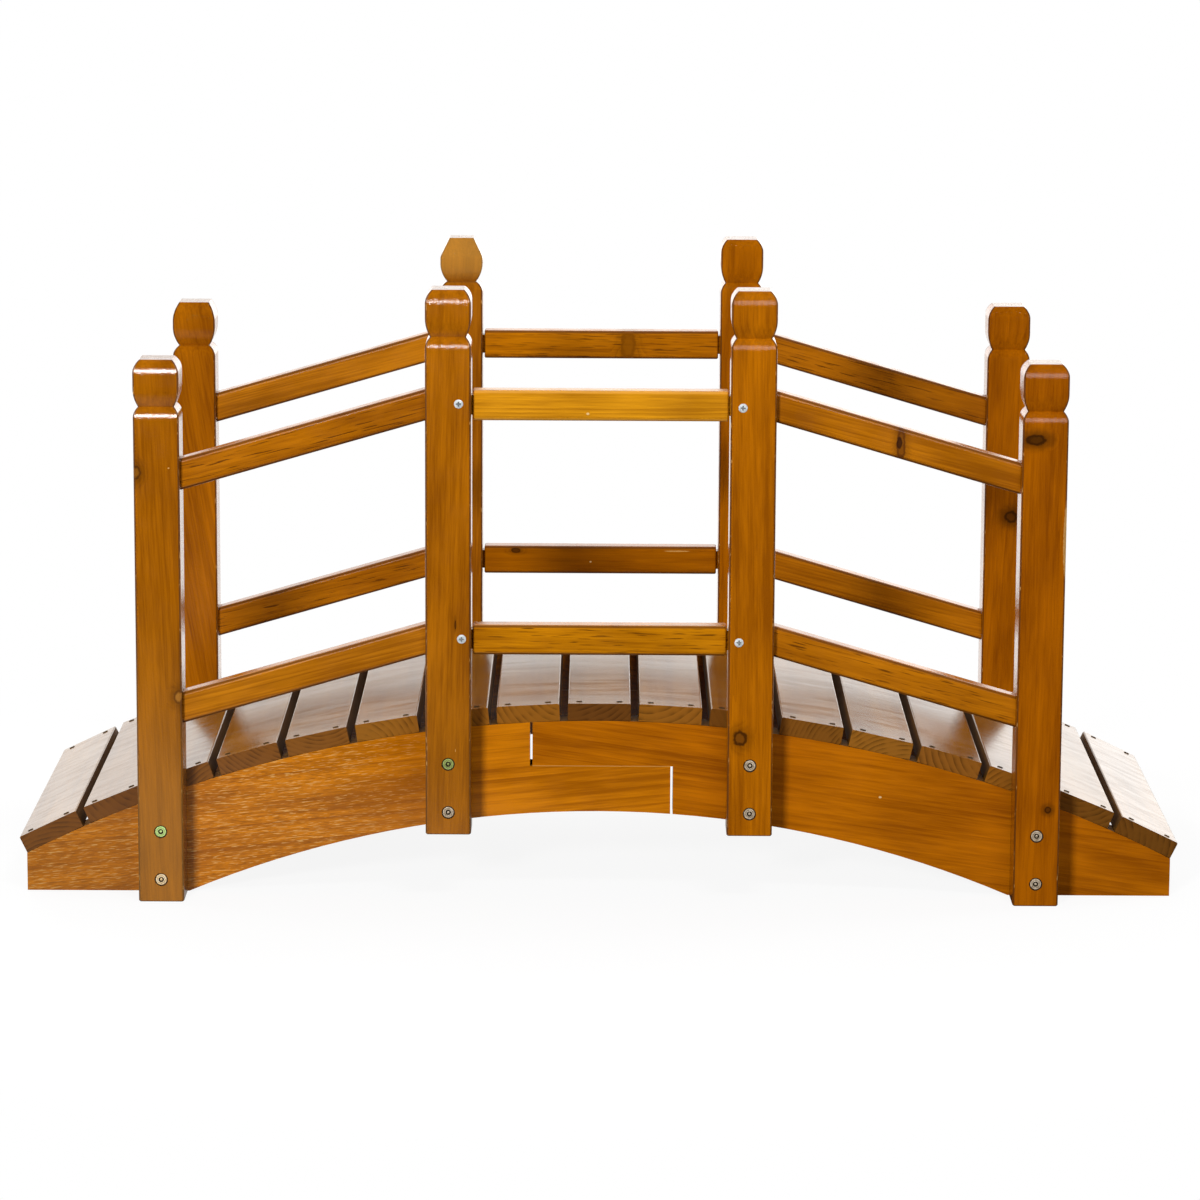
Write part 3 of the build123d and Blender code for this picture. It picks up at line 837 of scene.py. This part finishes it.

# %% Beams
# The left beam grows darker towards its left end, past the end post.
BEAM_WOODS = {
    "left": {
        "stain": "#bb6d06", "slope": math.radians(6), "ring_mm": 13.0, "ring_share": 0.75,
        "marks": [torn_fibres, lap_seam, toned_along("X", -600, -640, "#7a4a14", 0.25)]},
    "right": {
        "stain": "#ab5f03", "slope": math.radians(-8), "ring_mm": 9.0, "ring_share": 0.38,
        "marks": [lap_seam]},
}
# The colour of the painted shade on faces in the gaps and underneath: the beams' tops and undersides.
PAINTED_GAP_SHADE = "#5f3c06"
BEAM_PITH_ASIDE_MM, BEAM_PITH_BELOW_MM = 40, (160, 260)
BEAM_NICKS = {
    "front_right_beam": [{"at": (374, -265, 133), "radii": (1.6, 8, 1.2), **NICK}],
}
beam_names = [name for name in nodes if name.endswith("_beam")]
for name in beam_names:
    low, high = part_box(name)
    wood = BEAM_WOODS[name.split("_")[1]]
    aside = chance.uniform(-BEAM_PITH_ASIDE_MM, BEAM_PITH_ASIDE_MM)
    pith = (low + high) / 2 + Vector((0.0, aside, -chance.uniform(*BEAM_PITH_BELOW_MM))) * MM
    dress(name, varnished_fir(
        "varnished fir " + name, wood["stain"], pith, (0.0, math.pi / 2 - wood["slope"], 0.0),
        wood["ring_mm"], wood["ring_share"], marks=wood["marks"], knots=BEAM_NICKS.get(name, []),
        dull=faces_along((0.0, 0.0, 1.0)), pooled=PAINTED_GAP_SHADE))
print("beams dressed:", len(beam_names))

# %% [markdown]
# ## Deck slats
# Seventeen boards across the arch. Their sawn ends face the sides, with the rings as clean arcs, so the
# bend is small here and the pith lies close to each board. Their tops are smooth and mirror the white
# wall behind.

# %% Slats
SLAT_STAIN = "#7c5420"
SLAT_ENDS = ("#8a5618", "#85521a", "#7d4c18", "#8d5a1b")
# The ends of slats 16 and 17 are painted darker for the shadow that the right end posts cast on them.
DARK_AND_SHADED_ENDS = {
    "deck_slat_01": "#6d400f", "deck_slat_02": "#6c4012", "deck_slat_03": "#744614",
    "deck_slat_04": "#774818", "deck_slat_05": "#7d4d1a", "deck_slat_09": "#633b14",
    "deck_slat_11": "#6d4213", "deck_slat_12": "#774a16", "deck_slat_16": "#6f4514",
    "deck_slat_17": "#6a4113",
}
SLAT_GLOSS, SLAT_SMUDGE, SLAT_RELIEF_MM = (0.15, 0.22), (0.25, 1.6, 1.0), 0.003
SLAT_RING_SHARE, SLAT_BEND_MM, SLAT_CLOUD_STRETCH = 0.4, 5.0, 14.0
SLAT_PITH_MM, SLAT_RING_MM = (40, 120), (5.5, 10.0)
# The slats' sides, which face each other across the gaps, are painted dark as shade in the same colour.
slat_names = sorted(name for name in nodes if name.startswith("deck_slat"))
for name in slat_names:
    low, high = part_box(name)
    angle, away = chance.uniform(0, math.tau), chance.uniform(*SLAT_PITH_MM) * MM
    pith = (low + high) / 2 + Vector((math.cos(angle), 0.0, math.sin(angle))) * away
    ring_mm, end = chance.uniform(*SLAT_RING_MM), str(chance.choice(SLAT_ENDS))
    dress(name, varnished_fir(
        "varnished fir " + name, SLAT_STAIN, pith, (-math.pi / 2, 0.0, 0.0), ring_mm, SLAT_RING_SHARE,
        end=DARK_AND_SHADED_ENDS.get(name, end), gloss=SLAT_GLOSS, relief_mm=SLAT_RELIEF_MM, bend_mm=SLAT_BEND_MM,
        cloud_stretch=SLAT_CLOUD_STRETCH, smudge=SLAT_SMUDGE, dull=faces_along((1.0, 0.0, 0.0)),
        pooled=PAINTED_GAP_SHADE))
print("slats dressed:", len(slat_names))

# %% [markdown]
# ## Surfaces for the hardware
# Bolt heads, nuts and screws are turned things, and a hexagon is a turned thing whose radius changes with
# the angle. So one function stacks rings of points along an axis, each round or six-sided, and another
# stamps the finished grid wherever the bridge has one, as copies joined in one mesh. Computed as whole
# arrays, it needs no loop over points. Each point also carries how sunken it is, which paints shade into
# the hollows.

# %% Hardware helpers
SIDES = 48
SHARP_EDGE = math.radians(32)
SUNKEN = "sunken"
MERGE_MM = 0.001


def turned(radii, heights, hexes):
    """Rings of points stacked along Z. Each ring has its radius and height. Where hex is 1, the radius is
    the distance to a flat of a hexagon, divided by the cosine of the angle from the nearest flat."""
    angle = np.arange(SIDES) / SIDES * math.tau
    from_flat = (angle + math.pi / 6) % (math.pi / 3) - math.pi / 6
    swell = 1 + np.outer(hexes, 1 / np.cos(from_flat) - 1)
    radius = np.asarray(radii)[:, None] * swell
    height = np.broadcast_to(np.asarray(heights)[:, None], radius.shape)
    return np.stack([radius * np.cos(angle), radius * np.sin(angle), height], axis=-1) * MM


def stamp(name, grid, sunken, copies, material):
    """Joins copies of one grid of points that closes round its columns. A copy's point is its origin plus
    the grid's x, y and z times the three axes of the copy. Rows that shrink to a point become poles."""
    axes, origins = zip(*copies)
    rows, columns = grid.shape[:2]
    points = np.asarray(origins)[:, None, None, :] + np.einsum("rcj,mji->mrci", grid, np.asarray(axes))
    row, column = np.meshgrid(np.arange(rows - 1), np.arange(columns), indexing="ij")
    beside = (column + 1) % columns
    quads = np.stack([row * columns + column, row * columns + beside,
                      (row + 1) * columns + beside, (row + 1) * columns + column], axis=-1).reshape(-1, 4)
    quads = (quads[None] + np.arange(len(points))[:, None, None] * rows * columns).reshape(-1, 4)
    mesh = bpy.data.meshes.new(name)
    mesh.from_pydata(points.reshape(-1, 3).tolist(), [], quads.tolist())
    depth = np.tile(np.broadcast_to(sunken, (rows, columns)).ravel(), len(points)).astype(np.float32)
    mesh.attributes.new(SUNKEN, "FLOAT", "POINT").data.foreach_set("value", depth)
    shell = bmesh.new()
    shell.from_mesh(mesh)
    bmesh.ops.remove_doubles(shell, verts=shell.verts, dist=MERGE_MM * MM)
    bmesh.ops.recalc_face_normals(shell, faces=shell.faces)
    shell.to_mesh(mesh)
    shell.free()
    mesh.shade_smooth()
    mesh.set_sharp_from_angle(angle=SHARP_EDGE)
    mesh.materials.append(material)
    piece = bpy.data.objects.new(name, mesh)
    bpy.context.scene.collection.objects.link(piece)
    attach(piece, "root")
    print(name, "copies", len(points), "faces", len(mesh.polygons))
    return piece


OUTWARD = {"front": ((1, 0, 0), (0, 0, 1), (0, -1, 0)), "back": ((-1, 0, 0), (0, 0, 1), (0, 1, 0))}
INWARD = {"front": OUTWARD["back"], "back": OUTWARD["front"]}
print("turned hardware has", SIDES, "sides")

# %% [markdown]
# ## Plated steel
# The fasteners are steel with a thin coat of zinc. Fresh zinc is pale and bluish, older zinc is grey and
# dull, and zinc sealed with a yellow rinse shimmers from green to peach. It is never evenly bright: fine
# cloudy patches differ in colour and polish. Whatever is sunken turns dark and dull: painted shade in the
# hollows of bolts, nuts and screws, and the whole crown of each staple.

# %% Plated finishes
PLATE_CLOUD_MM, CLOUD_FROM, CLOUD_TO = 4.0, 0.35, 0.65
PLATE_METAL = 0.1
PLATE_POLISH = (0.22, 0.4)
SHADE_AND_GRIME, SHADE_AND_GRIME_ROUGHNESS = "#3a2f20", 0.7


def plated_steel(name, tint, second_tint):
    """Zinc-plated steel: two close tints in cloudy patches, dull enough to keep its own colour, and a dark,
    dull colour where the surface is sunken, which paints shade into hollows."""
    material = bpy.data.materials.new(name)
    tree = blank_tree(material)
    place = add_node(tree, "ShaderNodeTexCoord").outputs["Object"]
    shade_and_grime = add_node(tree, "ShaderNodeAttribute", attribute_name=SUNKEN).outputs["Fac"]
    cloud = add_node(tree, "ShaderNodeTexNoise", {
        "Vector": place, "Scale": 1 / (PLATE_CLOUD_MM * MM), "Detail": 3.0}).outputs[0]
    share = add_node(tree, "ShaderNodeMapRange", {
        "Value": cloud, "From Min": CLOUD_FROM, "From Max": CLOUD_TO}).outputs[0]
    colour = add_node(tree, "ShaderNodeMix", {
        0: share, COLOUR_A: linear(tint), COLOUR_B: linear(second_tint)},
        data_type="RGBA").outputs[COLOUR_OUT]
    colour = add_node(tree, "ShaderNodeMix", {
        0: shade_and_grime, COLOUR_A: colour, COLOUR_B: linear(SHADE_AND_GRIME)}, data_type="RGBA").outputs[COLOUR_OUT]
    rough = add_node(tree, "ShaderNodeMapRange", {
        "Value": cloud, "From Min": CLOUD_FROM, "From Max": CLOUD_TO,
        "To Min": PLATE_POLISH[0], "To Max": PLATE_POLISH[1]}).outputs[0]
    rough = add_node(tree, "ShaderNodeMix", {0: shade_and_grime, 2: rough, 3: SHADE_AND_GRIME_ROUGHNESS}).outputs[0]
    coat = add_node(tree, "ShaderNodeBsdfPrincipled", {
        "Base Color": colour, "Roughness": rough, "Metallic": PLATE_METAL}).outputs[0]
    add_node(tree, "ShaderNodeOutputMaterial", {"Surface": coat})
    return material


PLATES = {
    "dull": plated_steel("dull zinc plate", "#dccbb4", "#a8957a"),
    "green": plated_steel("yellow-sealed zinc plate, green", "#d8f59f", "#b9dd84"),
    "olive": plated_steel("yellow-sealed zinc plate, olive", "#a8b76c", "#8a9a55"),
    "peach": plated_steel("yellow-sealed zinc plate, peach", "#ffecca", "#f2cf97"),
    "bright": plated_steel("bright zinc plate", "#f2f7fa", "#c6d1d8"),
    "wire": plated_steel("darkened staple wire", "#4a3420", "#2e2014"),
}
print("plated finishes:", len(PLATES))

# %% [markdown]
# ## Bolts
# Two bolts hold each post to its beam. Their round heads lie in shallow recesses in the outer face, with
# a turned groove, a hexagonal socket for a key and a blunt point left on its floor. A dark ring of painted
# shade fills the gap round each head, and the groove and the socket are painted dark as shade too. On the
# hidden side each ends in a washer and a nut against the beam.

# %% Bolts and nuts
BOLT_HEIGHTS_MM = (30.0, 95.0)
RECESS_DEPTH_MM = 3.0
SHADE_RING_RADIUS_MM, SHADE_RING_MM = 8.7, 0.4
HEAD_RADIUS_MM, HEAD_MM = 7.3, 2.6
EDGE_MM = 0.9
GROOVE_RADIUS_MM, GROOVE_HALF_MM, GROOVE_MM, GROOVE_SHADE = 5.1, 0.8, 0.4, 0.6
SOCKET_MOUTH_MM, SOCKET_FLAT_MM, SOCKET_FLOOR_MM = 3.8, 2.8, 0.5
POINT_RADIUS_MM, POINT_MM = 1.5, 1.0
RIM_MM = 0.5
WASHER_RADIUS_MM, WASHER_MM = 9.0, 1.6
NUT_FLAT_MM, NUT_MM = 6.5, 6.5
THREAD_RADIUS_MM, THREAD_END_MM = 4.0, 3.0
nut_top = WASHER_MM + NUT_MM
thread_top = nut_top + THREAD_END_MM

# Each row of the two tables below is one ring: its radius, its height, whether it is six-sided, and how
# sunken, which is how much painted shade it takes.
head_rings = np.array([
    (0, 0, 0, 1),
    (SHADE_RING_RADIUS_MM, 0, 0, 1),
    (SHADE_RING_RADIUS_MM, SHADE_RING_MM, 0, 1),
    (HEAD_RADIUS_MM, SHADE_RING_MM, 0, 1),
    (HEAD_RADIUS_MM, HEAD_MM - EDGE_MM, 0, 0),
    (HEAD_RADIUS_MM - EDGE_MM / 3, HEAD_MM - EDGE_MM / 3, 0, 0),
    (HEAD_RADIUS_MM - EDGE_MM, HEAD_MM, 0, 0),
    (GROOVE_RADIUS_MM + GROOVE_HALF_MM, HEAD_MM, 0, 0),
    (GROOVE_RADIUS_MM, HEAD_MM - GROOVE_MM, 0, GROOVE_SHADE),
    (GROOVE_RADIUS_MM - GROOVE_HALF_MM, HEAD_MM, 0, 0),
    (SOCKET_MOUTH_MM, HEAD_MM, 0, 0),
    (SOCKET_FLAT_MM + RIM_MM, HEAD_MM - RIM_MM, 0, 1),
    (SOCKET_FLAT_MM, HEAD_MM - 1.5 * RIM_MM, 1, 1),
    (SOCKET_FLAT_MM, SOCKET_FLOOR_MM, 1, 1),
    (POINT_RADIUS_MM + RIM_MM / 2, SOCKET_FLOOR_MM, 0, 1),
    (POINT_RADIUS_MM, SOCKET_FLOOR_MM + POINT_MM / 2, 0, 0),
    (0, SOCKET_FLOOR_MM + POINT_MM, 0, 0),
])
nut_rings = np.array([
    (0, 0, 0, 0),
    (WASHER_RADIUS_MM, 0, 0, 0),
    (WASHER_RADIUS_MM, WASHER_MM - RIM_MM / 2, 0, 0),
    (WASHER_RADIUS_MM - RIM_MM / 2, WASHER_MM, 0, 0),
    (NUT_FLAT_MM, WASHER_MM, 1, 0),
    (NUT_FLAT_MM, nut_top - 1.5 * RIM_MM, 1, 0),
    (NUT_FLAT_MM, nut_top, 0, 0),
    (THREAD_RADIUS_MM + RIM_MM, nut_top, 0, 0),
    (THREAD_RADIUS_MM, nut_top - RIM_MM, 0, 1),
    (THREAD_RADIUS_MM, thread_top - RIM_MM, 0, 0),
    (THREAD_RADIUS_MM - RIM_MM, thread_top, 0, 0),
    (0, thread_top, 0, 0),
])
FRESH_BOLTS = {
    ("front_left_end_post", 95.0): "green", ("front_left_end_post", 30.0): "peach",
    ("front_left_crown_post", 95.0): "olive",
}
heads = {"green": [], "peach": [], "olive": [], "dull": []}
nuts = []
for name in POST_STAINS:
    low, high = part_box(name)
    side = name.split("_")[0]
    face = low.y + RECESS_DEPTH_MM * MM if side == "front" else high.y - RECESS_DEPTH_MM * MM
    beam_low, beam_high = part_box(side + "_left_beam")
    inner = beam_high.y if side == "front" else beam_low.y
    for height in BOLT_HEIGHTS_MM:
        centre, level = (low.x + high.x) / 2, low.z + height * MM
        heads[FRESH_BOLTS.get((name, height), "dull")].append((OUTWARD[side], (centre, face, level)))
        nuts.append((INWARD[side], (centre, inner, level)))
in_panel_light = bpy.data.collections["reached by the right panel"].objects
for finish, found in heads.items():
    in_panel_light.link(stamp(
        finish + "_bolt_heads", turned(*head_rings.T[:3]), head_rings[:, 3:], found, PLATES[finish]))
stamp("washers_and_nuts", turned(*nut_rings.T[:3]), nut_rings[:, 3:], nuts, PLATES["dull"])

# %% [markdown]
# ## Rail screws
# A screw through each crown post holds the end of a level rail. Its low domed head has a cross for the
# driver, which is sunk into the dome: the height of a point falls wherever it lies inside one of the two
# arms. They were driven by eye, so each sits a little off its mark.

# %% Rail screws
SCREW_RADIUS_MM, SCREW_DOME_MM = 6.0, 2.0
SCREW_DOME_POWER, SCREW_SEAT_MM = 0.6, 0.1
CROSS_WIDTH_MM, CROSS_LENGTH_MM, CROSS_DEPTH_MM = 1.9, 6.4, 1.5
CROSS_EASE_MM = 0.35
DISH_RADIUS_MM, DISH_DARKENING, CROSS_SHADE = 4.3, 0.12, 0.75
SCREW_ROWS = 22
SCREW_INSET_MM = 14.0
STRAYS_MM = {
    ("left", "top"): (-2.2, 4.0), ("right", "top"): (2.0, 0.5),
    ("left", "low"): (1.6, 4.0), ("right", "low"): (0.0, 1.2),
}


def domed_screw():
    """The points of a dome and how sunken they are: the cross takes painted shade, and the middle of the
    head is a little darker. The height is a power of one less the square of the radius, less a cross-shaped
    dip with soft walls. The first two rows close it underneath."""
    radius = np.concatenate([[0.0, SCREW_RADIUS_MM], np.linspace(SCREW_RADIUS_MM, 0, SCREW_ROWS)])
    angle = np.arange(SIDES) / SIDES * math.tau
    x, y = np.outer(radius, np.cos(angle)), np.outer(radius, np.sin(angle))
    dome = SCREW_DOME_MM * np.clip(1 - (radius / SCREW_RADIUS_MM) ** 2, 0, 1) ** SCREW_DOME_POWER
    narrow, long = [np.clip((half - np.abs([x, y])) / CROSS_EASE_MM + 0.5, 0, 1)
                    for half in (CROSS_WIDTH_MM / 2, CROSS_LENGTH_MM / 2)]
    arms = np.maximum(narrow[0] * long[1], narrow[1] * long[0])
    height = dome[:, None] - CROSS_DEPTH_MM * arms
    height[:2] = -SCREW_SEAT_MM
    dish = np.where(radius < DISH_RADIUS_MM, DISH_DARKENING, 0.0)
    return np.stack([x, y, height], axis=-1) * MM, np.maximum(arms * CROSS_SHADE, dish[:, None])


screws = []
for side in ("front", "back"):
    for (half, row), (aside, up) in STRAYS_MM.items():
        low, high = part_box(side + "_" + half + "_crown_post")
        rail_low, rail_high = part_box(side + "_middle_" + row + "_rail")
        face = low.y if side == "front" else high.y
        across = high.x - SCREW_INSET_MM * MM if half == "left" else low.x + SCREW_INSET_MM * MM
        level = (rail_low.z + rail_high.z) / 2
        screws.append((OUTWARD[side], (across + aside * MM, face, level + up * MM)))
in_panel_light.link(stamp("rail_screws", *domed_screw(), screws, PLATES["bright"]))

# %% [markdown]
# ## Staples
# Each slat is stapled to the beams, with two staples at each end. Only the crown of a staple shows, a
# short dark wire on the pale wood. It is a slim ellipse carried along a straight line, drawn in to a
# point at both ends and half sunk.

# %% Staples
STAPLE_MM, STAPLE_WIDTH_MM, STAPLE_RISE_MM = 8.4, 1.6, 1.2
STAPLE_FROM_END_MM = 12.0
STAPLE_ACROSS_SHARE = 0.32
STAPLE_ROWS, STAPLE_COLUMNS = 11, 8
STAPLE_END_POWER = 8
LOOKS_UP_FROM = 0.5


def staple_crown():
    """Along the line from -1 to 1, an ellipse shrinks by the square root of one less a power of the way."""
    way = np.linspace(-1, 1, STAPLE_ROWS)
    angle = np.arange(STAPLE_COLUMNS) / STAPLE_COLUMNS * math.tau
    shrink = np.sqrt(1 - way ** STAPLE_END_POWER)
    x = np.broadcast_to((way * STAPLE_MM / 2)[:, None], (STAPLE_ROWS, STAPLE_COLUMNS))
    y = np.outer(shrink, np.cos(angle)) * STAPLE_WIDTH_MM / 2
    z = np.outer(shrink, np.sin(angle)) * STAPLE_RISE_MM
    return np.stack([x, y, z], axis=-1) * MM


def top_face(node):
    """The normal of a board's top and how far it lies from the origin along it, from the largest face that
    looks up."""
    faces = nodes[node].data.polygons
    areas, normals, centres = np.empty(len(faces)), np.empty((len(faces), 3)), np.empty((len(faces), 3))
    faces.foreach_get("area", areas)
    faces.foreach_get("normal", normals.ravel())
    faces.foreach_get("center", centres.ravel())
    largest = np.argmax(areas * (normals[:, 2] > LOOKS_UP_FROM))
    return Vector(normals[largest]), float(normals[largest] @ centres[largest])


staples = []
flat_low, flat_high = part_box("deck_slat_09")
slat_width = flat_high.x - flat_low.x
for name in slat_names:
    low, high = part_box(name)
    normal, reach = top_face(name)
    middle = (low + high) / 2
    middle += normal * (reach - normal.dot(middle))
    across = Vector((normal.z, 0.0, -normal.x))
    for end in (-1, 1):
        for edge in (-1, 1):
            along = end * ((high.y - low.y) / 2 - STAPLE_FROM_END_MM * MM)
            spot = middle + across * edge * STAPLE_ACROSS_SHARE * slat_width + Vector((0.0, along, 0.0))
            staples.append(((across, normal.cross(across), normal), spot))
stamp("staples", staple_crown(), 1.0, staples, PLATES["wire"])
